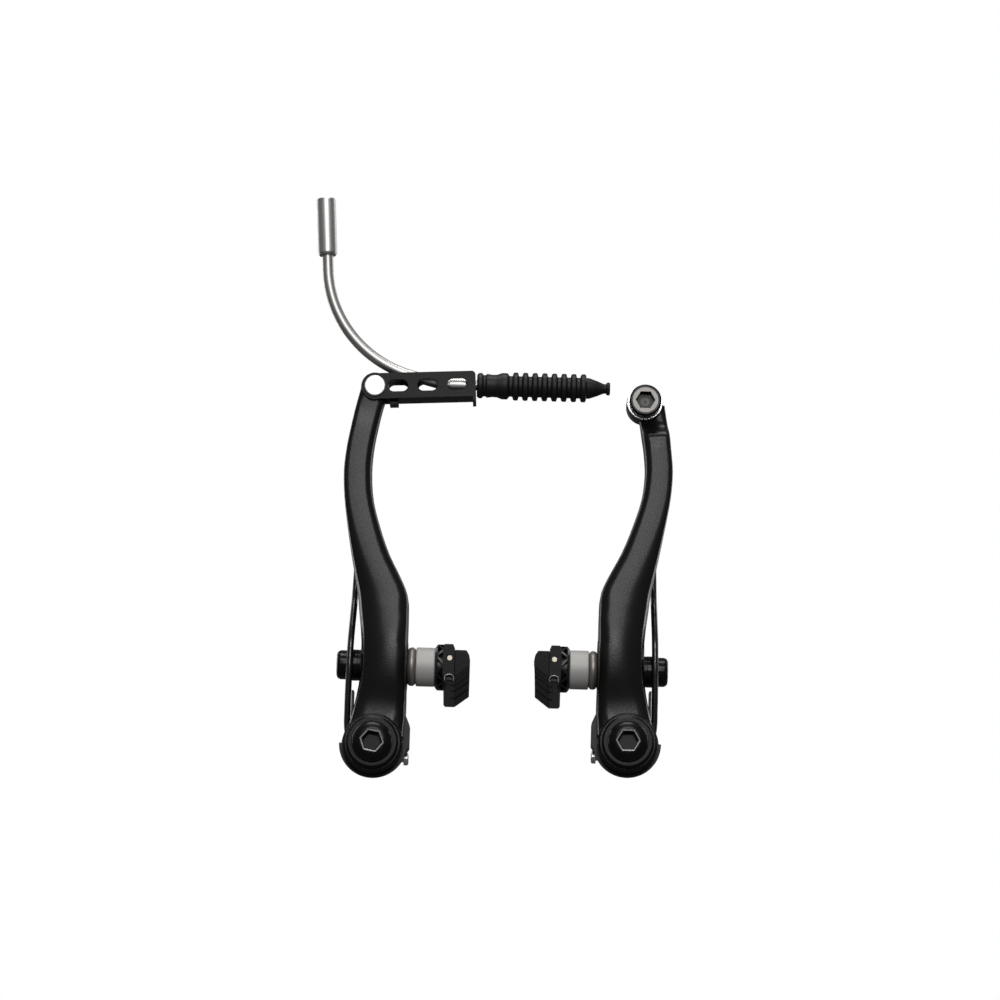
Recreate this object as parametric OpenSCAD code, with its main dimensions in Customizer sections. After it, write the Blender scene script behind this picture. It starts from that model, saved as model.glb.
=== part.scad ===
// Linear-pull rim brake, both arms, rebuilt from one product photograph.
// Millimetres. X to the viewer's right, -Y toward the viewer, +Z up.
// The origin lies midway between the two pivot axes.

/* [Pivots] */
// distance between the two frame bosses
boss_spacing = 74; // [70:0.5:86]
// lean of the left arm toward the rim, degrees
left_lean = 1.65; // [-2:0.05:4]
// lean of the right arm away from the rim, degrees
right_lean = 1.65; // [-2:0.05:4]
// radius of the frame boss that the sleeve slides on
boss_r = 4.1; // [3.9:0.01:4.2]
// outside radius of the pivot sleeve
sleeve_r = 5; // [4.6:0.05:5.5]
// running clearance on the radius at the arm pivot
pivot_gap = 0.05; // [0.02:0.01:0.1]

/* [Arms] */
// height of the link pin above the pivot
pin_z = 107; // [95:0.5:115]
// height of the cable clamp bolt above the pivot
clamp_z = 102.6; // [92:0.1:112]
// radius of the hub at the front
hub_r = 8.7; // [8:0.1:10]
// radius of the round spring housing behind the hub
seat_r = 9.9; // [9.5:0.1:11]

/* [Shoes] */
// height of the left shoe post on its arm
left_post_z = 24; // [21.6:0.1:26.4]
// height of the right shoe post on its arm
right_post_z = 22.3; // [21.6:0.1:26.4]
// length of the pads
pad_len = 70; // [50:1:75]
// radius of the rim that the pads follow
rim_r = 290; // [240:5:320]
// thickness of the spacer barrel
spacer_len = 5.6; // [3:0.1:7]

/* [Link and lead pipe] */
// length of the link from its pin to its end plate
link_len = 30; // [26:0.5:34]
// height of the link's side plates
link_h = 7.8; // [6:0.1:9]
// tilt of the link above level, degrees
link_tilt = 1.5; // [-2:0.1:4]
// outside radius of the bent pipe
pipe_r = 1.65; // [1.4:0.05:2]
// bend radius of the pipe
bend_r = 35.5; // [28:0.5:40]
// outside radius of the housing socket
socket_r = 2.9; // [2.8:0.05:3.2]
// radius of the cable housing that the socket takes
housing_r = 2.55; // [2.5:0.05:2.65]

/* [Boot] */
// length of the rubber boot
boot_len = 39.8; // [30:0.2:46]
// radius over the boot's ribs
boot_r = 4.2; // [3.5:0.05:5]

/* [Return springs] */
// radius of the spring wire
wire_r = 0.9; // [0.7:0.05:1.1]
// turns of the coil
coil_turns = 2.75; // [1.75:1:3.75]

/* [Hidden] */
$fn = 48;
half = boss_spacing / 2;
post_y = 3;
pin_x = -3.3;
clamp_x = -3.3;
pin_wx = -half + pin_x * cos(left_lean) + pin_z * sin(left_lean);
pin_wz = pin_z * cos(left_lean) - pin_x * sin(left_lean);
flange_y = -9;
coil_r = 7;
coil_y = -1.4;
coil_pitch = 2 * wire_r + 0.3;
seat_back = coil_y + coil_pitch * coil_turns + wire_r + 0.5;
plate_y = seat_back + 0.25;
plate_back = plate_y + 1.7;
barrel_r = sleeve_r + 1;
tongue = 2.95;
fit = 0.03;
post_r = 3;

// Stack of the shoe's pieces along the post, from the arm's inner face
arm_face = 9.05;
washer_x = arm_face + fit;
spacer_x = washer_x + 2.5;
holder_x = spacer_x + spacer_len;

// Placing of one side: local +x points to the rim on both arms
module on_left() {
    translate([-half, 0, 0])
        rotate([0, left_lean, 0])
            children();
}

module on_right() {
    translate([half, 0, 0])
        rotate([0, right_lean, 0])
            mirror([1, 0, 0])
                children();
}

// Helpers: a cylinder along Y from y0 to y1, and one along X from x0 to x1
module ycyl(r, y0, y1, x = 0, z = 0) {
    translate([x, y0, z])
        rotate([-90, 0, 0])
            cylinder(r = r, h = y1 - y0);
}

module ycone(r0, r1, y0, y1, x = 0, z = 0) {
    translate([x, y0, z])
        rotate([-90, 0, 0])
            cylinder(r1 = r0, r2 = r1, h = y1 - y0);
}

module xcyl(r, x0, x1, y = 0, z = 0) {
    translate([x0, y, z])
        rotate([0, 90, 0])
            cylinder(r = r, h = x1 - x0);
}

module xcone(r0, r1, x0, x1, y = 0, z = 0) {
    translate([x0, y, z])
        rotate([0, 90, 0])
            cylinder(r1 = r0, r2 = r1, h = x1 - x0);
}

// Smooth curve through rows [z, a, b, ...], one column at height t
function seg(rows, t, i = 0) =
    i >= len(rows) - 2 || t < rows[i + 1][0] ? i : seg(rows, t, i + 1);

function smooth(rows, col, t) =
    let (
        i = seg(rows, t),
        a = rows[max(i - 1, 0)],
        b = rows[i],
        c = rows[i + 1],
        d = rows[min(i + 2, len(rows) - 1)],
        h = c[0] - b[0],
        u = (t - b[0]) / h,
        m0 = (c[col] - a[col]) / (c[0] - a[0]) * h,
        m1 = (d[col] - b[col]) / (d[0] - b[0]) * h
    )
    b[col] * (2 * u * u * u - 3 * u * u + 1) + m0 * (u * u * u - 2 * u * u + u)
    + c[col] * (3 * u * u - 2 * u * u * u) + m1 * (u * u * u - u * u);

// Arm stations: height, outer edge, inner edge, front, back, and the width of
// the front's slope toward the outer edge
left_rows = [
    [2, -7.9, 8.8, -8.9, 6, 3],
    [11, -5.8, 9.05, -8.2, 7.4, 4],
    [20, -4.4, 8.9, -9.6, 8.2, 6.5],
    [30, -4.4, 8.9, -9.8, 8, 7],
    [39.5, -5.5, 8.9, -8.8, 6.6, 7],
    [44, -6, 8.6, -8.2, 5.4, 6.5],
    [49, -7, 6.5, -7.7, 4.8, 5.5],
    [56, -8.4, 2.9, -7.1, 4.5, 4],
    [64, -9.8, -0.1, -6.4, 4.3, 2.6],
    [73, -11.1, -2.6, -5.6, 4.1, 1.8],
    [81, -11.6, -3.4, -4.9, 3.8, 1.7],
    [88, -11.1, -3.1, -4.3, 3.5, 1.6],
    [95, -10, -2, -3.7, 3.1, 1.6],
    [101, -8.9, -0.75, -tongue, tongue, 1.6],
    [106.9, -7.5, 0.9, -tongue, tongue, 1.6]
];

right_rows = [
    [2, -7.9, 8.8, -8.9, 6, 3],
    [11, -5.8, 9.05, -8.2, 7.4, 4],
    [20, -4.4, 8.9, -9.6, 8.2, 6.5],
    [30, -4.4, 8.9, -9.8, 8, 7],
    [39.5, -5.5, 8.9, -8.8, 6.6, 7],
    [44, -6, 8.6, -8.2, 5.4, 6.5],
    [49, -7, 6.5, -7.7, 4.8, 5.5],
    [56, -8.4, 2.9, -7.1, 4.5, 4],
    [64, -9.9, -0.2, -6.4, 4.4, 2.6],
    [73, -11.4, -2.9, -5.6, 4.5, 1.8],
    [81, -11.9, -3.8, -4.9, 4.7, 1.7],
    [88, -11.3, -3.3, -4.3, 5, 1.6],
    [92.4, -10.8, -2.6, -4, 5.2, 1.6],
    [96, -10.3, -2.1, 0.05, 5.5, 1.6],
    [102, -9.3, -1, 0.05, 5.5, 1.6]
];

// The arms were drawn for these heights. When the top of an arm moves, its
// head goes with it and the part between shoe and head stays in proportion.
drawn_pin_z = 107;
drawn_clamp_z = 102.3;
shoe_top = 49;
head_len = 12;

function moved(z, top, drawn) =
    z > drawn - head_len ? z + top - drawn
    : z > shoe_top
        ? shoe_top + (z - shoe_top) * (top - head_len - shoe_top) / (drawn - head_len - shoe_top)
        : z;

function stretch(rows, top, drawn) =
    [for (r = rows) concat(moved(r[0], top, drawn), [for (k = [1:5]) r[k]])];

// One section of an arm: a rectangle with elliptic corners, a long slope on
// the front's outer side, a bevel on its inner side and small ones on the back
function corner(cx, cy, rx, ry, a0) =
    [for (k = [0:3]) [cx + rx * cos(a0 + k * 30), cy + ry * sin(a0 + k * 30)]];

function section(rows, t) =
    let (
        xo = smooth(rows, 1, t),
        xi = smooth(rows, 2, t),
        yf = smooth(rows, 3, t),
        yb = smooth(rows, 4, t),
        w = xi - xo,
        d = yb - yf,
        sx = smooth(rows, 5, t),
        sy = min(sx / 2, d * 0.4),
        fx = min(3.2, w * 0.26),
        fy = min(2.4, d * 0.3),
        bx = min(2, w * 0.2),
        by = min(1.8, d * 0.25)
    )
    concat(
        corner(xo + sx, yf + sy, sx, sy, 180),
        corner(xi - fx, yf + fy, fx, fy, 270),
        corner(xi - bx, yb - by, bx, by, 0),
        corner(xo + bx, yb - by, bx, by, 90)
    );

// Skin through the stations, with two more sections between each pair
module loft(rows) {
    zs = concat(
        [for (i = [0:len(rows) - 2]) for (k = [0:2])
            rows[i][0] + (rows[i + 1][0] - rows[i][0]) * k / 3],
        [rows[len(rows) - 1][0]]
    );
    steps = len(zs) - 1;
    pts = [for (t = zs) for (p = section(rows, t)) [p[0], p[1], t]];
    n = 16;
    polyhedron(
        points = pts,
        faces = concat(
            [[for (k = [0:n - 1]) k]],
            [for (s = [0:steps - 1]) for (k = [0:n - 1])
                [s * n + k, (s + 1) * n + k, (s + 1) * n + (k + 1) % n]],
            [for (s = [0:steps - 1]) for (k = [0:n - 1])
                [s * n + k, (s + 1) * n + (k + 1) % n, s * n + (k + 1) % n]],
            [[for (k = [0:n - 1]) steps * n + n - 1 - k]]
        )
    );
}

// A wire or tube of round section along a list of points
function unit(v) = v / norm(v);

function heading(p, i) =
    unit(p[min(i + 1, len(p) - 1)] - p[max(i - 1, 0)]);

module wire(p, r, n = 8) {
    m = len(p);
    pts = [for (i = [0:m - 1])
        let (t = heading(p, i), u = unit(cross(t, [0, 1, 0.001])), v = cross(t, u))
        for (k = [0:n - 1]) p[i] + r * (cos(360 * k / n) * u + sin(360 * k / n) * v)];
    polyhedron(
        points = pts,
        faces = concat(
            [[for (k = [0:n - 1]) k]],
            [for (s = [0:m - 2]) for (k = [0:n - 1])
                [s * n + k, (s + 1) * n + k, (s + 1) * n + (k + 1) % n]],
            [for (s = [0:m - 2]) for (k = [0:n - 1])
                [s * n + k, (s + 1) * n + (k + 1) % n, s * n + (k + 1) % n]],
            [[for (k = [0:n - 1]) (m - 1) * n + n - 1 - k]]
        )
    );
}

// Pivot hardware, the same on both sides
module mount_bolt(turn) {
    color([0.07, 0.07, 0.08])
        difference() {
            translate([0, -11, 0])
                rotate([90, 0, 0])
                    rotate_extrude()
                        polygon([
                            [0, -18], [2.5, -18], [2.9, -17.6], [2.9, -3.4], [2.7, -3.4], [2.7, 0], [5.9, 0],
                            [5.9, 0.9], [5.5, 1.7], [4.8, 2.3], [4, 2.7], [3.4, 2.85], [0, 2.85]
                        ]);
            translate([0, -10.6, 0])
                rotate([90, turn, 0])
                    cylinder(r = 2.9, h = 4, $fn = 6);
            translate([0, -13.3, 0])
                rotate([90, turn, 0])
                    cylinder(r1 = 2.9, r2 = 3.4, h = 0.56, $fn = 6);
        }
}

module pivot_sleeve() {
    color([0.1, 0.1, 0.11])
        difference() {
            union() {
                ycyl(sleeve_r, flange_y - 1, plate_back);
                ycyl(7.6, flange_y - 1.4, flange_y - 0.03);
                ycone(7, 7.6, flange_y - 2, flange_y - 1.4);
            }
            ycyl(boss_r, flange_y + 1, plate_back + 1);
            ycyl(3.05, flange_y - 3, flange_y + 2);
        }
}

module spring_plate() {
    color([0.16, 0.16, 0.17])
        difference() {
            union() {
                ycyl(8, plate_y, plate_back);
                ycyl(1.2, plate_back - 0.5, plate_back + 3, 0, 6.6);
            }
            ycyl(sleeve_r, plate_y - 1, plate_back + 1);
        }
}

// Space that the spring seat takes out of the arm: its round housing, the
// lug on the inner side and the hook on the outer side
seat_front = -4;
seat_taper = 1.2;
// a plane behind the whole arm
arm_back = 12;

module lug(grow, y0, y1) {
    translate([0, y1, 0])
        rotate([90, 0, 0])
            linear_extrude(height = y1 - y0)
                offset(delta = grow)
                    polygon([
                        [4, -2], [seat_r - 0.6, -2], [seat_r + 0.5, -0.4],
                        [seat_r + 0.5, 6], [seat_r - 0.5, 8.4], [4, 8.4]
                    ]);
}

module seat_space() {
    ycyl(seat_r + 0.05, seat_front, arm_back);
    lug(0.05, seat_front, arm_back);
    translate([-9, seat_front, 5])
        cube([2.85, 7, 6.5]);
}

// Flats that the shoe's washers bear on, made round the ends of the slot
module flat(r, x0, x1) {
    hull() {
        xcyl(r, x0, x1, post_y, 21.5);
        xcyl(r, x0, x1, post_y, 26.5);
    }
}

module arm_blank(rows) {
    difference() {
        union() {
            loft(rows);
            ycone(8, hub_r, flange_y, flange_y + 0.8);
            ycyl(hub_r, flange_y + 0.8, seat_front);
            flat(4.7, -4.62, 0);
            flat(4.7, 4, arm_face);
        }
        seat_space();
        flat(post_r + 0.1, -12, 14);
        flat(4.9, -12, -4.65);
    }
    ycyl(barrel_r, seat_front - 0.2, seat_back - 0.05);
}

module left_arm() {
    color([0.09, 0.09, 0.095])
        on_left()
            difference() {
                union() {
                    arm_blank(stretch(left_rows, pin_z, drawn_pin_z));
                    ycyl(4.2, -tongue, tongue, pin_x, pin_z);
                }
                ycyl(sleeve_r + pivot_gap, -12, 12);
                ycyl(2.03, -6, 6, pin_x, pin_z);
            }
}

module right_arm() {
    color([0.09, 0.09, 0.095])
        on_right()
            difference() {
                union() {
                    arm_blank(stretch(right_rows, clamp_z, drawn_clamp_z));
                    ycone(5.05, 5.4, 0, 0.35, clamp_x, clamp_z);
                    ycyl(5.4, 0.35, 5.5, clamp_x, clamp_z);
                }
                ycyl(sleeve_r + pivot_gap, -12, 12);
                ycyl(3.05, -6, 8, clamp_x, clamp_z);
            }
}

// Tapered housing of the coil, with the lug, the tension screw's seat and a
// small hook beside the spring's leg
screw_y = 0.8;
screw_z = -3.6;

module spring_seat() {
    color([0.05, 0.05, 0.055])
        difference() {
            union() {
                ycone(seat_r, seat_r - seat_taper, seat_front, seat_back);
                lug(0, seat_front, seat_back - 1.2);
            }
            ycyl(coil_r + 1, seat_front + 1.4, seat_back + 1);
            ycyl(barrel_r + fit, seat_front - 1, seat_back + 1);
            translate([-seat_r - 2, seat_front - 0.1, 0.2])
                cube([seat_r + 2 - 5.4, 4.1, 14]);
            xcyl(1.05, 5, seat_r + 2, screw_y, screw_z);
            xcyl(2.1, seat_r - 1, seat_r + 3, screw_y, screw_z);
        }
    color([0.05, 0.05, 0.055])
        translate([-6.85, -3.2, 6])
            cube([0.6, 5.7, 9.8]);
}

module tension_screw() {
    head_x = seat_r - 0.97;
    color([0.75, 0.75, 0.75])
        difference() {
            union() {
                xcyl(1, head_x - 1, head_x + 0.1, screw_y, screw_z);
                xcyl(1.85, head_x, head_x + 1.1, screw_y, screw_z);
                xcone(1.85, 1.4, head_x + 1.1, head_x + 1.4, screw_y, screw_z);
            }
            translate([head_x + 0.8, screw_y - 1.3, screw_z - 0.25])
                cube([1, 2.6, 0.5]);
            translate([head_x + 0.8, screw_y - 0.25, screw_z - 1.3])
                cube([1, 0.5, 2.6]);
        }
}

// Coil round the hub, then the leg that runs up outside the arm
leg_points = [
    [-7.2, coil_y - 0.1, 1.6],
    [-7.8, -1.7, 5],
    [-7.9, -2.2, 10],
    [-7.85, -2.9, 17.5],
    [-7.75, -3.3, 24],
    [-7.65, -2.7, 30],
    [-7.45, 2, 39],
    [-7.3, 6.4, 46.5],
    [-7.1, 6.9, 53.5]
];

coil_steps = 54;
coil_points = [for (k = [0:coil_steps])
    let (a = 180 + 360 * coil_turns * (1 - k / coil_steps))
    [coil_r * cos(a), coil_y + coil_pitch * (a - 180) / 360, coil_r * sin(a)]];

module return_spring() {
    color([0.1, 0.1, 0.1])
        wire(concat(coil_points, leg_points), wire_r);
}

// Shoe hardware on the arm side
module shoe_nut(z) {
    color([0.06, 0.06, 0.06])
        difference() {
            translate([-5.65, post_y, z])
                rotate([0, -90, 0])
                    rotate_extrude()
                        polygon([
                            [0, 0], [4.6, 0], [4.6, 1.7], [4.15, 2.1], [4.3, 2.5],
                            [4.3, 5], [3.9, 5.8], [3.3, 6.1], [0, 6.1]
                        ]);
            xcyl(post_r, -8.4, -5, post_y, z);
            translate([-12, post_y, z])
                rotate([0, 90, 0])
                    cylinder(r = 2.9, h = 3.4, $fn = 6);
        }
}

module outer_washer(z) {
    color([0.12, 0.12, 0.12])
        difference() {
            xcyl(4.55, -5.65, -4.65, post_y, z);
            xcyl(post_r + 0.08, -6, -4, post_y, z);
        }
}

module dished_washer(z) {
    color([0.35, 0.33, 0.31])
        difference() {
            translate([washer_x, post_y, z])
                rotate([0, 90, 0])
                    rotate_extrude()
                        polygon([
                            [0, 0], [4.9, 0], [5.4, 0.3], [5.7, 1], [5.7, 1.6], [5.3, 2.2],
                            [4.8, 2.5], [0, 2.5]
                        ]);
            xcyl(post_r, washer_x - 1, spacer_x + 1, post_y, z);
        }
}

module spacer(z) {
    color([0.72, 0.72, 0.71])
        difference() {
            union() {
                xcone(5.5, 5.75, spacer_x, spacer_x + 0.3, post_y, z);
                xcyl(5.75, spacer_x + 0.3, holder_x - 0.3, post_y, z);
                xcone(5.75, 5.5, holder_x - 0.3, holder_x, post_y, z);
            }
            xcyl(post_r, spacer_x - 1, holder_x + 1, post_y, z);
        }
}

module shoe_post(z) {
    color([0.3, 0.3, 0.3])
        xcyl(post_r, -8.4, holder_x + 4.2, post_y, z);
}

// Places across the shoe, from the holder's dome toward the rim
bar_x = 2.5;
pad_x = 5.85;
pad_t = 4.4;
shoe_drop = 1.45;
// The pads' front ends stand a little nearer to the rim
toe = 0.8;

// Bar of the given outline [x, height] bent along the rim
module along_rim(outline, len) {
    a = 2 * asin(len / 2 / rim_r);
    translate([0, 0, -rim_r])
        rotate([0, -90, 0])
            rotate([0, 0, -a / 2])
                rotate_extrude(angle = a, $fn = 360)
                    polygon([for (p = outline) [rim_r + p[1], -p[0]]]);
}

module at_shoe(z) {
    translate([holder_x, post_y, z - shoe_drop])
        rotate([0, 0, toe])
            children();
}

// Open ribs round the holder's dome: triangles by turns point to and fro
module dome_ribs() {
    for (k = [0:7]) {
        rotate([k * 45, 0, 0])
            linear_extrude(height = 9)
                polygon([[0.75, -1.75], [0.75, 1.75], [2.35, 0]]);
        rotate([k * 45 + 22.5, 0, 0])
            linear_extrude(height = 9)
                polygon([[2.45, -1.75], [0.9, 0], [2.45, 1.75]]);
    }
}

module shoe_holder(z) {
    color([0.08, 0.08, 0.085])
        difference() {
            union() {
                translate([holder_x, post_y, z])
                    difference() {
                        union() {
                            xcone(5.9, 6.8, 0, 0.7);
                            xcyl(6.8, 0.7, bar_x + 0.9);
                        }
                        difference() {
                            dome_ribs();
                            xcyl(5.2, -1, 9);
                        }
                    }
                at_shoe(z)
                    along_rim([
                        [bar_x, -3.1], [bar_x + 0.5, -3.75], [pad_x, -3.75], [pad_x, 4.3],
                        [pad_x - 0.5, 5.5], [pad_x - 2.9, 5.5], [bar_x, 4.3]
                    ], pad_len);
            }
            xcyl(post_r + fit, 0, holder_x + 4.22, post_y, z);
            at_pad_pin(z)
                ycyl(0.8, -1, 5);
        }
}

module pad(z) {
    color([0.11, 0.11, 0.11])
        at_shoe(z)
            difference() {
                along_rim([
                    [pad_x, -3.9], [pad_x + pad_t, -0.5], [pad_x + pad_t, 1],
                    [pad_x + pad_t - 0.3, 2.6], [pad_x + pad_t - 1.1, 3.9], [pad_x, 3.9]
                ], pad_len - 0.4);
                for (k = [-2:2])
                    translate([pad_x + pad_t - 1.2, k * pad_len / 6 - 0.8, -8])
                        cube([3, 1.6, 16]);
            }
}

// Drop of the bar's ends below its middle
end_sag = rim_r - sqrt(rim_r * rim_r - pad_len * pad_len / 4);

module at_pad_pin(z) {
    at_shoe(z)
        translate([pad_x - 1.4, -pad_len / 2, 1.5 - end_sag])
            children();
}

module pad_pin(z) {
    color([0.7, 0.7, 0.7])
        at_pad_pin(z)
            ycyl(0.75, -0.4, 4);
}

// Link pin, channel and lead pipe
module link_pin() {
    color([0.85, 0.85, 0.84])
        on_left() {
            ycyl(2, -4.1, 4.1, pin_x, pin_z);
            ycyl(3.1, -4.75, -4.04, pin_x, pin_z);
            ycone(2.85, 3.1, -5, -4.75, pin_x, pin_z);
            ycyl(2.9, 4.04, 4.8, pin_x, pin_z);
        }
}

module at_link() {
    translate([pin_wx, 0, pin_wz])
        rotate([0, -link_tilt, 0])
            children();
}

module slot_cut(x) {
    translate([x, 0, 0])
        rotate([90, 0, 0])
            linear_extrude(height = 12, center = true) {
                translate([-1.2, 0])
                    circle(r = 1.8, $fn = 24);
                translate([1.2, 0])
                    circle(r = 1.8, $fn = 24);
                square([2.4, 3.6], center = true);
            }
}

module link_channel() {
    color([0.08, 0.08, 0.08])
        at_link()
            difference() {
                union() {
                    for (y = [-4, 3]) {
                        ycyl(link_h / 2 + 0.2, y, y + 1);
                        translate([0, y, -link_h / 2])
                            cube([link_len - 1.2, 1, link_h]);
                        translate([link_len - 1.3, y, -link_h / 2])
                            cube([1.3, 1, link_h - 1]);
                        ycyl(1.2, y, y + 1, link_len - 1.2, link_h / 2 - 1.2);
                    }
                    translate([5.4, -4, -link_h / 2])
                        cube([link_len - 5.4, 8, 0.9]);
                    translate([link_len - 1, -4, -5.3])
                        cube([1, 8, link_h / 2 + 5.3 - 1.2]);
                    translate([4.2, -1.2, -5.2])
                        cube([2.6, 4.6, 2.4]);
                }
                ycyl(2.05, -6, 6);
                for (k = [0:2])
                    slot_cut(6.85 + k * 8.8 * link_len / 30);
                translate([link_len - 2, -0.9, nose_h])
                    cube([3, 1.8, 6]);
                xcyl(nose_r + 0.1, link_len - 2, link_len + 1, 0, nose_h);
            }
}

// Path of the pipe in world X and Z
link_end = pin_wx + link_len * cos(link_tilt);
boot_x = link_end + 0.35;
arc_x = link_end - 9.07;
arc_z = pin_wz + 2.55 + bend_r;
tail_a = 16;
end_a = 1.56;
nose_r = 1.5;
tail_x = arc_x - bend_r * sin(tail_a);
tail_z = arc_z - bend_r * cos(tail_a);
tail_l = 7;
mid_x = tail_x + tail_l * cos(tail_a);
mid_z = tail_z - tail_l * sin(tail_a);
mid_r = 20;
end_x = mid_x + mid_r * (sin(tail_a) - sin(end_a));
end_z = mid_z - mid_r * (cos(end_a) - cos(tail_a));
nose_h = end_z - (link_end - end_x) * tan(end_a) - pin_wz - link_len * sin(link_tilt);
top_a = 2.2;
top_x = arc_x - bend_r * cos(top_a);
top_z = arc_z - bend_r * sin(top_a);

pipe_path = concat(
    [for (s = [10, 0]) [top_x - s * sin(top_a), 0, top_z + s * cos(top_a)]],
    [for (k = [1:24])
        let (a = 180 + top_a + (90 - tail_a - top_a) * k / 24)
        [arc_x + bend_r * cos(a), 0, arc_z + bend_r * sin(a)]],
    [for (k = [0:5])
        let (a = tail_a + (end_a - tail_a) * k / 5)
        [mid_x + mid_r * (sin(tail_a) - sin(a)), 0, mid_z - mid_r * (cos(a) - cos(tail_a))]],
    [[end_x + 2, 0, end_z - 2 * sin(end_a)]]
);

// The bore's path runs 1 mm past both ends
function past(a, b) = a + unit(a - b);

pipe_bore = concat(
    [past(pipe_path[0], pipe_path[1])],
    [for (k = [1:len(pipe_path) - 2]) pipe_path[k]],
    [past(pipe_path[len(pipe_path) - 1], pipe_path[len(pipe_path) - 2])]
);

module lead_pipe() {
    color([0.8, 0.8, 0.79])
        difference() {
            wire(pipe_path, pipe_r, 20);
            wire(pipe_bore, pipe_r - 0.6, 10);
        }
}

module at_socket() {
    translate([top_x, 0, top_z])
        rotate([0, -top_a, 0])
            children();
}

module pipe_socket() {
    color([0.75, 0.75, 0.74])
        at_socket()
            difference() {
                union() {
                    translate([0, 0, 4.6])
                        cylinder(r1 = socket_r - 0.4, r2 = socket_r, h = 0.8);
                    translate([0, 0, 5.4])
                        cylinder(r = socket_r, h = 16.4);
                    translate([0, 0, 21.8])
                        cylinder(r1 = socket_r, r2 = socket_r - 0.2, h = 0.3);
                }
                translate([0, 0, 9.9])
                    cylinder(r = housing_r, h = 14);
                translate([0, 0, 4])
                    cylinder(r = pipe_r + fit, h = 6.2);
            }
}

module at_head() {
    translate([end_x, 0, end_z])
        rotate([0, end_a, 0])
            children();
}

nose_len = (boot_x - end_x) / cos(end_a) + 3;

module pipe_head() {
    color([0.78, 0.78, 0.77])
        at_head()
            difference() {
                union() {
                    xcyl(2.3, -0.6, 4.2);
                    xcone(2.3, nose_r, 4.2, 5);
                    xcyl(nose_r, 5, nose_len);
                }
                xcyl(pipe_r + fit, -1, 2.1);
                xcyl(0.9, -2, nose_len + 1);
            }
}

// Bellows of the cable boot, drawn as one turned profile
module boot_profile() {
    polygon(concat(
        [[0, nose_r], [0, 3.3], [0.6, 3.8], [1.5, 3.8], [1.9, 3.2], [2.5, 3.2], [3, 3.6],
         [4.4, 3.35], [5.9, 3.4], [7.4, 3.95], [9, 3.95], [9.6, 3.1]],
        [for (k = [0:7]) for (q = [[0, 3.1], [0.35, boot_r - 0.1], [0.75, boot_r],
                                   [1.25, boot_r - 0.1], [1.6, 3.1]])
            [10.5 + 2.86 * k + q[0], q[1]]],
        [[33.2, 3.1], [35.5, 2.3], [37.4, 1.5], [38.2, 1.4], [38.3, 1.8], [39, 2],
         [39.4, 1.7], [39.4, 0.8], [37, 0.8], [32, 2], [8, 2.2], [6, nose_r]]
    ));
}

module cable_boot() {
    color([0.09, 0.09, 0.09])
        at_head()
            translate([(boot_x - end_x) / cos(end_a), 0, 0])
                rotate([0, 90, 0])
                    rotate_extrude()
                        rotate([0, 0, 90])
                            mirror([0, 1, 0])
                                scale([boot_len / 39.4, 1])
                                    boot_profile();
}

// Cable clamp on the right arm
cable_r = 0.8;

module cable_washer() {
    color([0.8, 0.8, 0.79])
        on_right()
            difference() {
                ycyl(5.2, -2, 0, clamp_x, clamp_z);
                ycyl(3.05, -3, 1, clamp_x, clamp_z);
                xcyl(cable_r, clamp_x - 6, clamp_x + 6, -cable_r, clamp_z + 4.3);
                translate([clamp_x - 6, -cable_r, clamp_z + 4.3 - cable_r])
                    cube([12, cable_r + 1, 2 * cable_r]);
            }
}

module cable_bolt() {
    color([0.12, 0.12, 0.12])
        on_right()
            translate([clamp_x, 0, clamp_z])
                difference() {
                    union() {
                        ycyl(2.96, -2.1, 6.6);
                        ycyl(4.77, -5, -2.03);
                        ycone(4.3, 4.77, -5.5, -5);
                    }
                    translate([0, -2.8, 0])
                        rotate([90, 0, 0])
                            cylinder(r = 2.9, h = 4, $fn = 6);
                }
}

left_mount_bolt();
right_mount_bolt();
left_pivot_sleeve();
right_pivot_sleeve();
left_spring_plate();
right_spring_plate();
left_arm();
right_arm();
left_spring_seat();
right_spring_seat();
left_return_spring();
right_return_spring();
left_tension_screw();
right_tension_screw();
left_shoe_nut();
right_shoe_nut();
left_outer_washer();
right_outer_washer();
left_dished_washer();
right_dished_washer();
left_spacer();
right_spacer();
left_shoe_post();
right_shoe_post();
left_shoe_holder();
right_shoe_holder();
left_pad();
right_pad();
left_pad_pin();
right_pad_pin();
link_pin();
link_channel();
lead_pipe();
pipe_socket();
pipe_head();
cable_boot();
cable_bolt();
cable_washer();

// Left and right copies of the shared pieces
module left_mount_bolt() on_left() mount_bolt(10);
module right_mount_bolt() on_right() mount_bolt(0);
module left_pivot_sleeve() on_left() pivot_sleeve();
module right_pivot_sleeve() on_right() pivot_sleeve();
module left_spring_plate() on_left() spring_plate();
module right_spring_plate() on_right() spring_plate();
module left_spring_seat() on_left() spring_seat();
module right_spring_seat() on_right() spring_seat();
module left_return_spring() on_left() return_spring();
module right_return_spring() on_right() return_spring();
module left_tension_screw() on_left() tension_screw();
module right_tension_screw() on_right() tension_screw();
module left_shoe_nut() on_left() shoe_nut(left_post_z);
module right_shoe_nut() on_right() shoe_nut(right_post_z);
module left_outer_washer() on_left() outer_washer(left_post_z);
module right_outer_washer() on_right() outer_washer(right_post_z);
module left_dished_washer() on_left() dished_washer(left_post_z);
module right_dished_washer() on_right() dished_washer(right_post_z);
module left_spacer() on_left() spacer(left_post_z);
module right_spacer() on_right() spacer(right_post_z);
module left_shoe_post() on_left() shoe_post(left_post_z);
module right_shoe_post() on_right() shoe_post(right_post_z);
module left_shoe_holder() on_left() shoe_holder(left_post_z);
module right_shoe_holder() on_right() shoe_holder(right_post_z);
module left_pad() on_left() pad(left_post_z);
module right_pad() on_right() pad(right_post_z);
module left_pad_pin() on_left() pad_pin(left_post_z);
module right_pad_pin() on_right() pad_pin(right_post_z);
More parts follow.
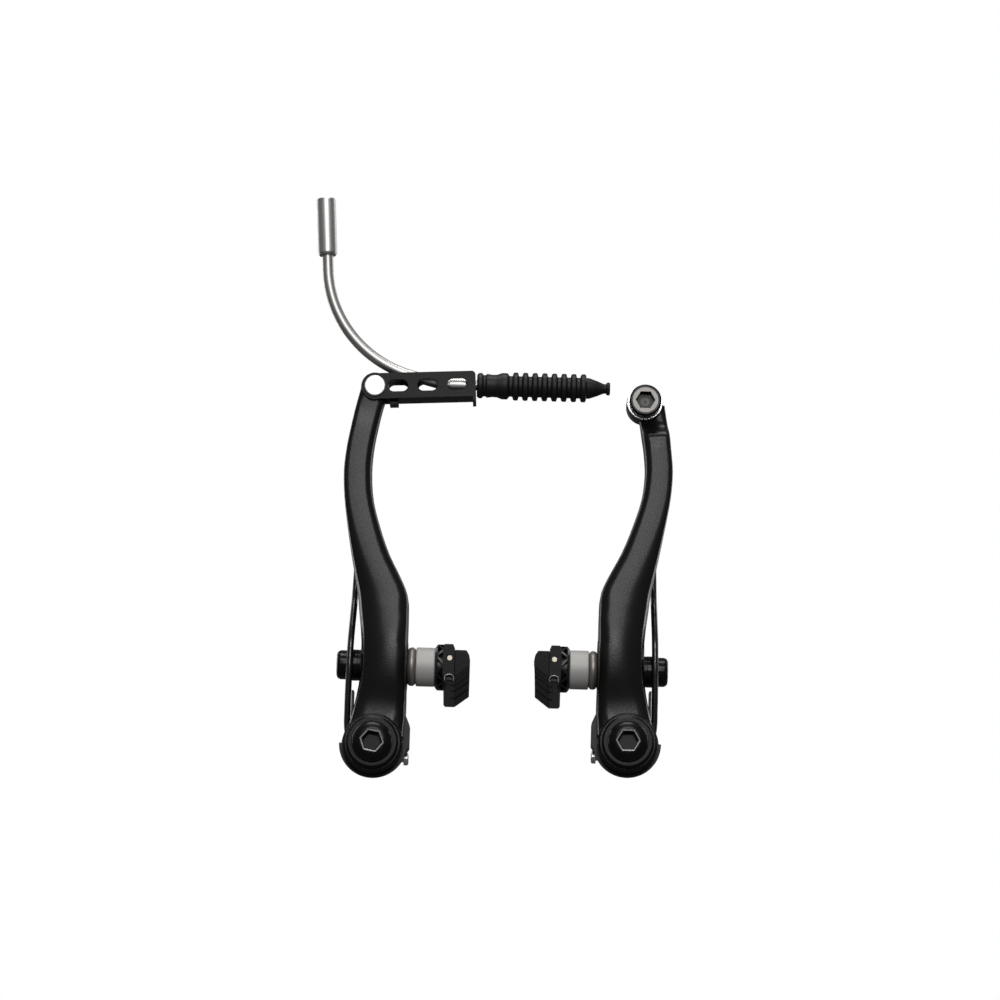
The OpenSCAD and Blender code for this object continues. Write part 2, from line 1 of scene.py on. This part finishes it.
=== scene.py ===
# Linear-pull rim brake with both arms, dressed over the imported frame.
# Metres, +Z up, the viewer on the -Y side.
import math

import bmesh
import bpy
from mathutils import Matrix, Vector


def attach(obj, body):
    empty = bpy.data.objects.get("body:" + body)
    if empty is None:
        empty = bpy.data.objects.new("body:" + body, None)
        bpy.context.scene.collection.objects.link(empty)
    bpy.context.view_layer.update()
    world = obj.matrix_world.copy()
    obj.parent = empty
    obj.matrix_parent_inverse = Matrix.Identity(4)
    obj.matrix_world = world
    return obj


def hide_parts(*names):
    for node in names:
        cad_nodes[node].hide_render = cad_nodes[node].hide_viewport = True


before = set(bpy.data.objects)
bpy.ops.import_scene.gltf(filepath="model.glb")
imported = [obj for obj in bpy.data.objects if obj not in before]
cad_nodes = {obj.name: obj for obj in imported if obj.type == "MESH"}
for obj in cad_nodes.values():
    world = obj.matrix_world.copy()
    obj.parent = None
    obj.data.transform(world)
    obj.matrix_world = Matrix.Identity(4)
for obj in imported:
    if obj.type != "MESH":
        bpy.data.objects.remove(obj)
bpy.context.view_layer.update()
scene = bpy.context.scene

# Camera
# The brake is seen straight on from a little below, so that the undersides of
# the link and the pads show and every near edge sits slightly high.
look_up = math.radians(11.0)
eye_distance = 0.925
look_at = Vector((0.0, 0.0, 0.0732))
half_frame = 0.1485
camera_data = bpy.data.cameras.new("photo_camera")
camera_data.sensor_width = 36.0
camera_data.angle = 2.0 * math.atan(half_frame / eye_distance)
camera_data.clip_start = 0.01
camera = bpy.data.objects.new("photo_camera", camera_data)
camera.location = look_at - eye_distance * Vector((0.0, math.cos(look_up), math.sin(look_up)))
camera.rotation_euler = (math.radians(90.0) + look_up, 0.0, 0.0)
scene.collection.objects.link(camera)
scene.camera = camera
scene.view_settings.view_transform = "Standard"

# Room
# A pale floor lies well under the brake, which is held up by its two bosses.
# Room and floor look white to the camera but are dim as light and in reflections,
# so that black pieces keep deep shadows between the soft lamps.
floor_height = -0.16
floor_reach = 4.0
floor_bounce = (0.12, 0.12, 0.12, 1.0)
floor_tone = (0.5, 0.5, 0.5, 1.0)
floor_glow = (0.45, 0.45, 0.45, 1.0)
floor_roughness = 0.9
ambient = 0.16
world = bpy.data.worlds.new("white_room")
scene.world = world
world.use_nodes = True
room = world.node_tree
room.nodes.clear()
room_out = room.nodes.new("ShaderNodeOutputWorld")
room_back = room.nodes.new("ShaderNodeBackground")
room_rays = room.nodes.new("ShaderNodeLightPath")
room_clear = room.nodes.new("ShaderNodeMath")
room_clear.operation = "MAXIMUM"
room_level = room.nodes.new("ShaderNodeMath")
room_level.operation = "MAXIMUM"
room_level.inputs[1].default_value = ambient
room_back.inputs["Color"].default_value = (1.0, 1.0, 1.0, 1.0)
room.links.new(room_rays.outputs["Is Camera Ray"], room_clear.inputs[0])
room.links.new(room_rays.outputs["Is Transmission Ray"], room_clear.inputs[1])
room.links.new(room_clear.outputs[0], room_level.inputs[0])
room.links.new(room_level.outputs[0], room_back.inputs["Strength"])
room.links.new(room_back.outputs[0], room_out.inputs["Surface"])

floor_mesh = bpy.data.meshes.new("floor")
floor_shape = bmesh.new()
bmesh.ops.create_grid(floor_shape, x_segments=1, y_segments=1, size=floor_reach)
bmesh.ops.translate(floor_shape, vec=(0.0, 0.0, floor_height), verts=floor_shape.verts)
floor_shape.to_mesh(floor_mesh)
floor_shape.free()
floor = bpy.data.objects.new("floor", floor_mesh)
scene.collection.objects.link(floor)
floor_paint = bpy.data.materials.new("pale_floor")
floor_paint.use_nodes = True
floor_tree = floor_paint.node_tree
floor_seen = floor_tree.nodes.new("ShaderNodeMix")
floor_seen.data_type = "RGBA"
floor_seen.inputs["A"].default_value = floor_bounce
floor_seen.inputs["B"].default_value = floor_tone
floor_rays = floor_tree.nodes.new("ShaderNodeLightPath")
floor_tree.links.new(floor_rays.outputs["Is Camera Ray"], floor_seen.inputs["Factor"])
floor_shader = floor_tree.nodes["Principled BSDF"]
floor_tree.links.new(floor_seen.outputs["Result"], floor_shader.inputs["Base Color"])
floor_shader.inputs["Roughness"].default_value = floor_roughness
floor_shader.inputs["Emission Color"].default_value = floor_glow
floor_tree.links.new(floor_rays.outputs["Is Camera Ray"], floor_shader.inputs["Emission Strength"])
floor.data.materials.append(floor_paint)


def soft_lamp(name, place, size, watts):
    """A soft oblong lamp, of a width and a height, that faces the brake's middle."""
    data = bpy.data.lights.new(name, "AREA")
    data.shape = "RECTANGLE"
    data.size = size[0]
    data.size_y = size[1]
    data.energy = watts
    lamp = bpy.data.objects.new(name, data)
    lamp.location = place
    aim = look_at - Vector(place)
    lamp.rotation_euler = aim.to_track_quat("-Z", "Y").to_euler()
    scene.collection.objects.link(lamp)


soft_lamp("front", (0.03, -0.92, 0.25), (0.26, 0.16), 1.5)
soft_lamp("front_above", (0.02, -0.88, 0.6), (0.5, 0.26), 3.0)
soft_lamp("overhead", (0.0, -0.1, 0.9), (0.5, 0.3), 3.2)
soft_lamp("behind_left", (-0.6, 0.6, 0.32), (0.3, 0.6), 1.4)
soft_lamp("behind_right", (0.6, 0.6, 0.32), (0.3, 0.6), 1.4)


# Arms
# Two forged aluminium levers, blasted and anodised a satin black, bored to turn
# on the pivot sleeves. The solids' own shape is kept, with its shading evened
# out so that the bent faces run on without facets.
def surface_texture():
    """Node group: fine grain as a normal, and slow clouds as a mask."""
    tree = bpy.data.node_groups.new("surface_texture", "ShaderNodeTree")
    for label, kind, start in (
        ("Grain Scale", "NodeSocketFloat", 2200.0),
        ("Grain Depth", "NodeSocketFloat", 0.1),
        ("Cloud Scale", "NodeSocketFloat", 60.0),
        ("Normal", "NodeSocketVector", None),
    ):
        socket = tree.interface.new_socket(name=label, in_out="INPUT", socket_type=kind)
        if start is not None:
            socket.default_value = start
    tree.interface.new_socket(name="Normal", in_out="OUTPUT", socket_type="NodeSocketVector")
    tree.interface.new_socket(name="Grain", in_out="OUTPUT", socket_type="NodeSocketFloat")
    tree.interface.new_socket(name="Clouds", in_out="OUTPUT", socket_type="NodeSocketFloat")
    entry = tree.nodes.new("NodeGroupInput")
    leave = tree.nodes.new("NodeGroupOutput")
    place = tree.nodes.new("ShaderNodeTexCoord")
    grain = tree.nodes.new("ShaderNodeTexNoise")
    grain.inputs["Detail"].default_value = 3.0
    clouds = tree.nodes.new("ShaderNodeTexNoise")
    clouds.inputs["Detail"].default_value = 2.0
    bump = tree.nodes.new("ShaderNodeBump")
    bump.inputs["Distance"].default_value = 0.0002
    tree.links.new(place.outputs["Object"], grain.inputs["Vector"])
    tree.links.new(place.outputs["Object"], clouds.inputs["Vector"])
    tree.links.new(entry.outputs["Grain Scale"], grain.inputs["Scale"])
    tree.links.new(entry.outputs["Cloud Scale"], clouds.inputs["Scale"])
    tree.links.new(entry.outputs["Grain Depth"], bump.inputs["Strength"])
    tree.links.new(entry.outputs["Normal"], bump.inputs["Normal"])
    tree.links.new(grain.outputs["Fac"], bump.inputs["Height"])
    tree.links.new(bump.outputs["Normal"], leave.inputs["Normal"])
    tree.links.new(grain.outputs["Fac"], leave.inputs["Grain"])
    tree.links.new(clouds.outputs["Fac"], leave.inputs["Clouds"])
    return tree


texture_group = surface_texture()


colour_spread = 0.12
gloss_spread = 0.07
least_rough = 0.03
broken_edge = 0.0002


def finish(name, colour, rough, metal=0.0, grain=2200.0, depth=0.1, gloss_level=0.5):
    """A surface with grain, slow colour and gloss changes, and broken edges."""
    made = bpy.data.materials.new(name)
    made.use_nodes = True
    tree = made.node_tree
    shader = tree.nodes["Principled BSDF"]
    shader.inputs["Metallic"].default_value = metal
    shader.inputs["Specular IOR Level"].default_value = gloss_level
    group = tree.nodes.new("ShaderNodeGroup")
    group.node_tree = texture_group
    group.inputs["Grain Scale"].default_value = grain
    group.inputs["Grain Depth"].default_value = depth
    rounded = tree.nodes.new("ShaderNodeBevel")
    rounded.samples = 4
    rounded.inputs["Radius"].default_value = broken_edge
    tone = tree.nodes.new("ShaderNodeMix")
    tone.data_type = "RGBA"
    dark = [part * (1.0 - colour_spread) for part in colour]
    pale = [min(1.0, part * (1.0 + colour_spread)) for part in colour]
    tone.inputs["A"].default_value = (*dark, 1.0)
    tone.inputs["B"].default_value = (*pale, 1.0)
    gloss = tree.nodes.new("ShaderNodeMapRange")
    gloss.inputs["To Min"].default_value = max(least_rough, rough - gloss_spread)
    gloss.inputs["To Max"].default_value = min(1.0, rough + gloss_spread)
    tree.links.new(rounded.outputs["Normal"], group.inputs["Normal"])
    tree.links.new(group.outputs["Clouds"], tone.inputs["Factor"])
    tree.links.new(group.outputs["Grain"], gloss.inputs["Value"])
    tree.links.new(tone.outputs["Result"], shader.inputs["Base Color"])
    tree.links.new(gloss.outputs["Result"], shader.inputs["Roughness"])
    tree.links.new(group.outputs["Normal"], shader.inputs["Normal"])
    return made


def put(name, shape, body, material, *stands_for):
    """Makes an object of a bmesh in its final place, on a body."""
    mesh = bpy.data.meshes.new(name)
    shape.to_mesh(mesh)
    shape.free()
    mesh.materials.append(material)
    piece = bpy.data.objects.new(name, mesh)
    scene.collection.objects.link(piece)
    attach(piece, body)
    if stands_for:
        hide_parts(*stands_for)
    return piece


def evened(node, body, material, crease=28.0):
    """A copy of a CAD node, shaded smooth but for edges sharper than the crease."""
    shape = bmesh.new()
    shape.from_mesh(cad_nodes[node].data)
    bmesh.ops.remove_doubles(shape, verts=shape.verts, dist=0.000002)
    for face in shape.faces:
        face.smooth = True
    for edge in shape.edges:
        edge.smooth = edge.calc_face_angle(0.0) < math.radians(crease)
    piece = put("dressed_" + node, shape, body, material, node)
    even = piece.modifiers.new("even_shading", "WEIGHTED_NORMAL")
    even.keep_sharp = True
    return piece


arm_black = finish(
    "satin_black_arm", (0.0070, 0.0068, 0.0066), 0.28, grain=2600.0, depth=0.12, gloss_level=0.28)
evened("left_arm", "left_side", arm_black, crease=34.0)
evened("right_arm", "right_side", arm_black, crease=34.0)

# Mounting bolts and pivot sleeves
# Socket-head steel bolts, domed and blackened, clamp flanged sleeves to the
# frame's bosses, and the arms turn on the sleeves. A thin bright ring on each hex
# socket's chamfer is a painted highlight, for the light that the chamfer catches.
cap_black = finish(
    "black_oxide_steel", (0.0045, 0.0045, 0.0047), 0.3, grain=1800.0, depth=0.06, gloss_level=0.22)


def dress(material, *names):
    """Gives CAD nodes a finish."""
    for name in names:
        node = cad_nodes[name]
        node.data.materials.clear()
        node.data.materials.append(material)


for side in ("left", "right"):
    evened(side + "_mount_bolt", "pivots", cap_black)
    evened(side + "_pivot_sleeve", "pivots", cap_black)
dress(cap_black, "left_spring_plate", "right_spring_plate")

pivot_offset = 0.037
lean = Matrix.Rotation(math.radians(1.65), 4, "Y")
mirror = Matrix.Scale(-1.0, 4, (1.0, 0.0, 0.0))
left_place = Matrix.Translation((-pivot_offset, 0.0, 0.0)) @ lean
right_place = Matrix.Translation((pivot_offset, 0.0, 0.0)) @ lean @ mirror
# Pale steel for the thin rings on the hex chamfers: a painted highlight, not worn metal.
chamfer_highlight_steel = finish("painted_highlight_steel", (0.75, 0.73, 0.7), 0.5, metal=0.5, depth=0.05)
circle_turn = Matrix.Rotation(math.radians(30.0), 3, "Z")
toward_viewer = Matrix.Rotation(math.radians(90.0), 3, "X")
ring_thickness = 0.00006


def face_ring(name, inner, outer, place, body, material):
    """A thin ring on a bolt's face, between two loops of (sides, radius, depth)."""
    shape = bmesh.new()
    for sides, radius, depth in (inner, outer):
        loop = bmesh.ops.create_circle(shape, cap_ends=False, segments=sides, radius=radius)
        bmesh.ops.rotate(shape, cent=(0.0, 0.0, 0.0), matrix=circle_turn, verts=loop["verts"])
        bmesh.ops.translate(shape, vec=(0.0, 0.0, -depth), verts=loop["verts"])
    bmesh.ops.bridge_loops(shape, edges=shape.edges[:])
    bmesh.ops.recalc_face_normals(shape, faces=shape.faces)
    bmesh.ops.solidify(shape, geom=shape.faces[:], thickness=ring_thickness)
    bmesh.ops.rotate(shape, cent=(0.0, 0.0, 0.0), matrix=toward_viewer, verts=shape.verts)
    bmesh.ops.transform(shape, matrix=place, verts=shape.verts)
    bmesh.ops.recalc_face_normals(shape, faces=shape.faces)
    return put(name, shape, body, material)


hex_mouth = (6, 0.00352, -0.01389)
hex_throat = (6, 0.00315, -0.01372)
for side, place, bolt_turn in (("left", left_place, 10.0), ("right", right_place, 0.0)):
    spun = place @ Matrix.Rotation(math.radians(bolt_turn), 4, "Y")
    face_ring(side + "_hex_edge_highlight", hex_throat, hex_mouth, spun, "pivots", chamfer_highlight_steel)

# Spring housings and return springs
# A black moulded housing behind each hub holds a steel coil. The wire's leg
# leaves it through a slot and runs up outside the arm, over the shoe's nut.
seat_black = finish(
    "black_moulded_housing", (0.0045, 0.0045, 0.0047), 0.42, grain=1500.0, depth=0.08, gloss_level=0.4)
for side in ("left", "right"):
    evened(side + "_spring_seat", side + "_side", seat_black, crease=34.0)
wire_black = finish(
    "black_spring_wire", (0.007, 0.007, 0.007), 0.22, grain=1500.0, depth=0.04, gloss_level=0.8)
wire_radius = 0.00095
coil_radius = 0.007
coil_start = -0.0014
coil_turns = 2.75
coil_pitch = 0.0021
coil_points = 66
leg = (
    (-0.0072, -0.0015, 0.0016),
    (-0.0078, -0.0017, 0.005),
    (-0.0079, -0.0022, 0.010),
    (-0.00785, -0.0029, 0.0175),
    (-0.00775, -0.0033, 0.024),
    (-0.00765, -0.0027, 0.030),
    (-0.00745, 0.002, 0.039),
    (-0.0073, 0.0064, 0.0465),
    (-0.0071, 0.0069, 0.0535),
)


def round_bar(name, points, radius, place, body, material, *stands_for, sides=6):
    """A bar of round section that passes smoothly through points."""
    path = bpy.data.curves.new(name + "_path", "CURVE")
    path.dimensions = "3D"
    path.bevel_depth = radius
    path.bevel_resolution = sides
    path.resolution_u = 8
    path.use_fill_caps = True
    line = path.splines.new("BEZIER")
    line.bezier_points.add(len(points) - 1)
    for knot, point in zip(line.bezier_points, points):
        knot.co = point
        knot.handle_left_type = "AUTO"
        knot.handle_right_type = "AUTO"
    holder = bpy.data.objects.new(name + "_path", path)
    scene.collection.objects.link(holder)
    bpy.context.view_layer.update()
    drawn = holder.evaluated_get(bpy.context.evaluated_depsgraph_get())
    bent = bpy.data.meshes.new_from_object(drawn)
    bpy.data.objects.remove(holder)
    shape = bmesh.new()
    shape.from_mesh(bent)
    bpy.data.meshes.remove(bent)
    bmesh.ops.transform(shape, matrix=place, verts=shape.verts)
    bmesh.ops.remove_doubles(shape, verts=shape.verts, dist=0.000001)
    bmesh.ops.recalc_face_normals(shape, faces=shape.faces)
    for face in shape.faces:
        face.smooth = len(face.verts) == 4
    return put(name, shape, body, material, *stands_for)


for side, place in (("left", left_place), ("right", right_place)):
    coil = []
    for step in range(coil_points + 1):
        turn = math.pi + 2.0 * math.pi * coil_turns * (1.0 - step / coil_points)
        depth = coil_start + coil_pitch * (turn - math.pi) / (2.0 * math.pi)
        coil.append((coil_radius * math.cos(turn), depth, coil_radius * math.sin(turn)))
    round_bar(side + "_spring_wire", coil + list(leg), wire_radius, place, side + "_side",
              wire_black, side + "_return_spring")

# Tension screws
# Small plated steel screws with crossed slots, driven into the inner side of
# each hub. They bear on the spring and so set its pull.
screw_steel = finish("plated_screw", (0.62, 0.62, 0.61), 0.32, metal=1.0, depth=0.05)
dress(screw_steel, "left_tension_screw", "right_tension_screw")

# Shoe hardware
# Each shoe's post passes through the arm's slot, with a black nut and washer
# outside, and a dished dark washer and a pale spacer barrel inside.
nut_black = finish(
    "glossy_black_nut", (0.004, 0.004, 0.004), 0.24, grain=1800.0, depth=0.04, gloss_level=0.22)
washer_bronze = finish("dark_bronze_washer", (0.36, 0.34, 0.312), 0.48, metal=0.8, depth=0.06)
spacer_pale = finish("pale_spacer", (0.55, 0.54, 0.52), 0.58, metal=0.2, grain=3000.0, depth=0.2)
post_steel = finish("plated_post", (0.45, 0.45, 0.44), 0.3, metal=1.0, depth=0.05)
for side in ("left", "right"):
    evened(side + "_shoe_nut", side + "_shoe", nut_black)
    evened(side + "_dished_washer", side + "_shoe", washer_bronze, crease=45.0)
    evened(side + "_spacer", side + "_shoe", spacer_pale)
dress(cap_black, "left_outer_washer", "right_outer_washer")
dress(post_steel, "left_shoe_post", "right_shoe_post")

# Shoe holders and pads
# A black cast bar, bent to the rim, carries a moulded rubber pad with cross
# grooves. A wire pin through the bar's front end, bent into a small loop round
# a lug below it, keeps the pad from sliding out.
holder_black = finish("black_shoe_holder", (0.008, 0.008, 0.0078), 0.36, depth=0.14, gloss_level=0.45)
pad_rubber = finish(
    "pad_compound", (0.0095, 0.0095, 0.0093), 0.58, grain=1400.0, depth=0.3, gloss_level=0.35)
pin_steel = finish("bright_wire_pin", (0.46, 0.42, 0.35), 0.4, metal=0.9, depth=0.04)
holder_face = 0.01718
post_height = {"left": 0.024, "right": 0.0223}
post_depth = 0.003
shoe_drop = 0.00145
toe_in = math.radians(0.8)
rim_radius = 0.29
pad_length = 0.0696
pad_back = 0.00585
pad_front = 0.01025
groove_half = 0.0008
groove_step = 0.07 / 6.0
groove_depth = 0.0012
grooves = range(-2, 3)
pad_outline = (
    (pad_back, -0.0039),
    (pad_front, -0.0005),
    (pad_front, 0.001),
    (pad_front - 0.0003, 0.0026),
    (pad_front - 0.0011, 0.0039),
    (pad_back, 0.0039),
)


def shoe_place(side):
    """From the shoe's own axes to the brake's."""
    arm = left_place if side == "left" else right_place
    stand = Matrix.Translation((holder_face, post_depth, post_height[side] - shoe_drop))
    return arm @ stand @ Matrix.Rotation(toe_in, 4, "Z")


def pad_piece(side):
    """The pad: its outline spun along the rim, with grooves pressed in."""
    shape = bmesh.new()
    corners = [shape.verts.new((x, 0.0, z)) for x, z in pad_outline]
    band = shape.faces.new(corners)
    half_turn = math.asin(0.5 * pad_length / rim_radius)
    centre = (0.0, 0.0, -rim_radius)
    bmesh.ops.rotate(shape, cent=centre, matrix=Matrix.Rotation(half_turn, 3, "X"), verts=shape.verts)
    marks = [-half_turn]
    for groove in grooves:
        for edge_side in (-1.0, 1.0):
            marks.append((groove * groove_step + edge_side * groove_half) / rim_radius)
    marks.append(half_turn)
    geometry = [band]
    for start, stop in zip(marks[:-1], marks[1:]):
        swept = bmesh.ops.spin(
            shape, geom=geometry, cent=centre, axis=(1.0, 0.0, 0.0), angle=start - stop,
            steps=1 if stop - start < 0.006 else 6, use_merge=False, use_duplicate=False,
        )
        geometry = swept["geom_last"]
    bmesh.ops.remove_doubles(shape, verts=shape.verts, dist=0.000001)
    bmesh.ops.recalc_face_normals(shape, faces=shape.faces)
    pressed = []
    for face in shape.faces:
        middle = face.calc_center_median()
        along = middle.y / rim_radius
        near = min(abs(along - groove * groove_step / rim_radius) for groove in grooves)
        on_front = face.normal.x > 0.5 and middle.x > pad_back + 0.001
        if on_front and near < 0.5 * groove_half / rim_radius:
            pressed.append(face)
    raised = bmesh.ops.extrude_face_region(shape, geom=pressed)
    moved = [item for item in raised["geom"] if isinstance(item, bmesh.types.BMVert)]
    bmesh.ops.translate(shape, vec=(-groove_depth, 0.0, 0.0), verts=moved)
    bmesh.ops.delete(shape, geom=pressed, context="FACES")
    bmesh.ops.transform(shape, matrix=shoe_place(side), verts=shape.verts)
    bmesh.ops.recalc_face_normals(shape, faces=shape.faces)
    for face in shape.faces:
        face.smooth = True
    piece = put(side + "_ribbed_pad", shape, side + "_shoe", pad_rubber, side + "_pad")
    soften = piece.modifiers.new("moulded_edges", "BEVEL")
    soften.width = 0.00025
    soften.segments = 2
    soften.limit_method = "ANGLE"
    soften.angle_limit = math.radians(24.0)
    even = piece.modifiers.new("even_shading", "WEIGHTED_NORMAL")
    even.keep_sharp = True


for side in ("left", "right"):
    evened(side + "_shoe_holder", side + "_shoe", holder_black)
    pad_piece(side)
dress(pin_steel, "left_pad_pin", "right_pad_pin")

loop_steel = finish("dull_wire_loop", (0.2, 0.195, 0.185), 0.36, metal=1.0, depth=0.04)
bar_middle = 0.00445
bar_bottom = -0.00587
loop_depth = -0.03515
loop_wire = 0.00024
loop_points = ((-0.0012, 0.0013), (-0.0012, 0.0001), (-0.0008, -0.0004),
               (0.0008, -0.0004), (0.0012, 0.0001), (0.0012, 0.0013))
lug_size = (0.0026, 0.0042, 0.0024)
lug_round = 0.0004
lug_set_back = 0.0032
for side in ("left", "right"):
    loop = [(bar_middle + across, loop_depth, bar_bottom - drop) for across, drop in loop_points]
    round_bar(side + "_pin_loop", loop, loop_wire, shoe_place(side), side + "_shoe", loop_steel)
    lug = bmesh.new()
    bmesh.ops.create_cube(lug, size=1.0)
    bmesh.ops.scale(lug, vec=lug_size, verts=lug.verts)
    bmesh.ops.bevel(lug, geom=lug.edges[:], offset=lug_round, segments=2, profile=0.5,
                    affect="EDGES", material=-1)
    bmesh.ops.translate(lug, vec=(bar_middle, loop_depth + lug_set_back, bar_bottom), verts=lug.verts)
    bmesh.ops.transform(lug, matrix=shoe_place(side), verts=lug.verts)
    bmesh.ops.recalc_face_normals(lug, faces=lug.faces)
    put(side + "_pin_lug", lug, side + "_shoe", seat_black)

# Link and its pin
# A folded steel channel with three slots in each side, painted satin black,
# turns on a round-headed pin in the left arm's top.
link_black = finish(
    "satin_black_link", (0.0055, 0.0055, 0.0052), 0.34, grain=2600.0, depth=0.1, gloss_level=0.12)
pin_bright = finish("bright_pin", (0.93, 0.925, 0.91), 0.45, metal=0.6, depth=0.04)
evened("link_channel", "link", link_black)
evened("link_pin", "left_side", pin_bright)

# Lead pipe
# A polished steel tube, bent to a quarter turn, guides the cable down to the
# link. A turned socket on its top takes the housing, and a collar with a nose
# on its lower end sits in the link's end plate.
pipe_steel = finish("polished_pipe", (0.56, 0.55, 0.535), 0.44, metal=1.0, depth=0.03)
socket_steel = finish("satin_socket", (0.60, 0.595, 0.59), 0.42, metal=1.0, depth=0.06)
bend_centre = Vector((-0.016298, 0.0, 0.145101))
bend_radius = 0.0355
pipe_radius = 0.00165
tail_length = 0.007
tail_radius = 0.02
nose_run = 0.0018
bend_steps = 24
tail_steps = 5
top_lean = math.radians(2.2)
tail_slope = math.radians(16.0)
end_slope = math.radians(1.56)
pipe_points = []
for rise in (0.0095, 0.006, 0.003):
    pipe_points.append(bend_centre + Vector((
        -bend_radius * math.cos(top_lean) - rise * math.sin(top_lean), 0.0,
        -bend_radius * math.sin(top_lean) + rise * math.cos(top_lean))))
for step in range(bend_steps + 1):
    angle = math.pi + top_lean + (0.5 * math.pi - tail_slope - top_lean) * step / bend_steps
    pipe_points.append(bend_centre + bend_radius * Vector((math.cos(angle), 0.0, math.sin(angle))))
tail_start = bend_centre - bend_radius * Vector((math.sin(tail_slope), 0.0, math.cos(tail_slope)))
tail_end = tail_start + tail_length * Vector((math.cos(tail_slope), 0.0, -math.sin(tail_slope)))
pipe_points.append(0.5 * (tail_start + tail_end))
for step in range(tail_steps + 1):
    slope = tail_slope + (end_slope - tail_slope) * step / tail_steps
    pipe_points.append(tail_end + tail_radius * Vector((
        math.sin(tail_slope) - math.sin(slope), 0.0, math.cos(tail_slope) - math.cos(slope))))
nose_way = Vector((math.cos(end_slope), 0.0, -math.sin(end_slope)))
pipe_points.append(pipe_points[-1] + nose_run * nose_way)
round_bar("bent_pipe", pipe_points, pipe_radius, Matrix.Identity(4), "link", pipe_steel, "lead_pipe",
          sides=10)
evened("pipe_socket", "link", socket_steel)
evened("pipe_head", "link", socket_steel)

# Boot
# A bellows of black rubber, moulded in one piece. It is pushed over the pipe's
# nose, holds by its own grip, and keeps grit off the cable.
boot_rubber = finish(
    "boot_rubber", (0.008, 0.008, 0.008), 0.5, grain=1600.0, depth=0.14, gloss_level=0.32)
boot_start = Vector((-0.006878, 0.0, 0.108075))
boot_scale = 39.8 / 39.4
boot_ribs = 8
first_rib = 0.0105
rib_step = 0.00286
rib_radius = 0.0042
shoulder_radius = rib_radius - 0.0003
waist_radius = 0.0031
boot_outline = [
    (0.0, 0.0016), (0.0, 0.0033), (0.0006, 0.0038), (0.0015, 0.0038), (0.0019, 0.0032),
    (0.0025, 0.0032), (0.003, 0.0036), (0.0044, 0.00335), (0.0059, 0.0034),
    (0.0074, 0.00395), (0.009, 0.00395), (0.0096, waist_radius),
]
for rib in range(boot_ribs):
    start = first_rib + rib_step * rib
    boot_outline += [
        (start, waist_radius), (start + 0.00018, shoulder_radius), (start + 0.0005, rib_radius),
        (start + 0.0015, rib_radius), (start + 0.0017, shoulder_radius), (start + 0.00188, waist_radius),
    ]
boot_outline += [
    (0.0332, waist_radius), (0.0355, 0.0023), (0.0374, 0.0015), (0.0382, 0.0014), (0.0383, 0.0018),
    (0.039, 0.002), (0.0394, 0.0017), (0.0394, 0.0008), (0.037, 0.0008),
]

boot_shape = bmesh.new()
boot_line = [boot_shape.verts.new((along * boot_scale, 0.0, radius)) for along, radius in boot_outline]
boot_sides = [boot_shape.edges.new(pair) for pair in zip(boot_line[:-1], boot_line[1:])]
bmesh.ops.spin(boot_shape, geom=boot_line + boot_sides, cent=(0.0, 0.0, 0.0), axis=(1.0, 0.0, 0.0),
               angle=2.0 * math.pi, steps=72, use_merge=True, use_duplicate=False)
bmesh.ops.remove_doubles(boot_shape, verts=boot_shape.verts, dist=0.000001)
boot_place = Matrix.Translation(boot_start) @ Matrix.Rotation(end_slope, 4, "Y")
bmesh.ops.transform(boot_shape, matrix=boot_place, verts=boot_shape.verts)
bmesh.ops.recalc_face_normals(boot_shape, faces=boot_shape.faces)
for face in boot_shape.faces:
    face.smooth = True
boot = put("ribbed_boot", boot_shape, "link", boot_rubber, "cable_boot")
boot_edges = boot.modifiers.new("moulded_edges", "BEVEL")
boot_edges.width = 0.00012
boot_edges.segments = 2
boot_edges.limit_method = "ANGLE"
boot_edges.angle_limit = math.radians(30.0)

# Cable clamp
# A socket-head bolt on the right arm's top pinches the cable against a bright
# washer with a groove. Its head's flat face is bare machined steel, and so is
# the round end of its socket.
clamp_bright = finish("bright_clamp_washer", (0.78, 0.775, 0.76), 0.3, metal=1.0, depth=0.05)
evened("cable_washer", "right_side", clamp_bright)
evened("cable_bolt", "clamp_bolt", cap_black)
bright_steel = finish("machined_steel", (0.19, 0.183, 0.174), 0.38, metal=0.7, depth=0.06)
dull_steel = finish("dull_socket_steel", (0.055, 0.054, 0.052), 0.4, metal=0.6, depth=0.06)
clamp_place = right_place @ Matrix.Translation((-0.0033, 0.0, 0.1026))
face_inner = (6, 0.0029, -0.00552)
face_outer = (48, 0.00385, -0.00552)
socket_inner = (24, 0.0003, -0.00285)
socket_outer = (24, 0.0015, -0.00285)
face_ring("clamp_bolt_face", face_inner, face_outer, clamp_place, "clamp_bolt", bright_steel)
face_ring("clamp_socket_end", socket_inner, socket_outer, clamp_place, "clamp_bolt", dull_steel)
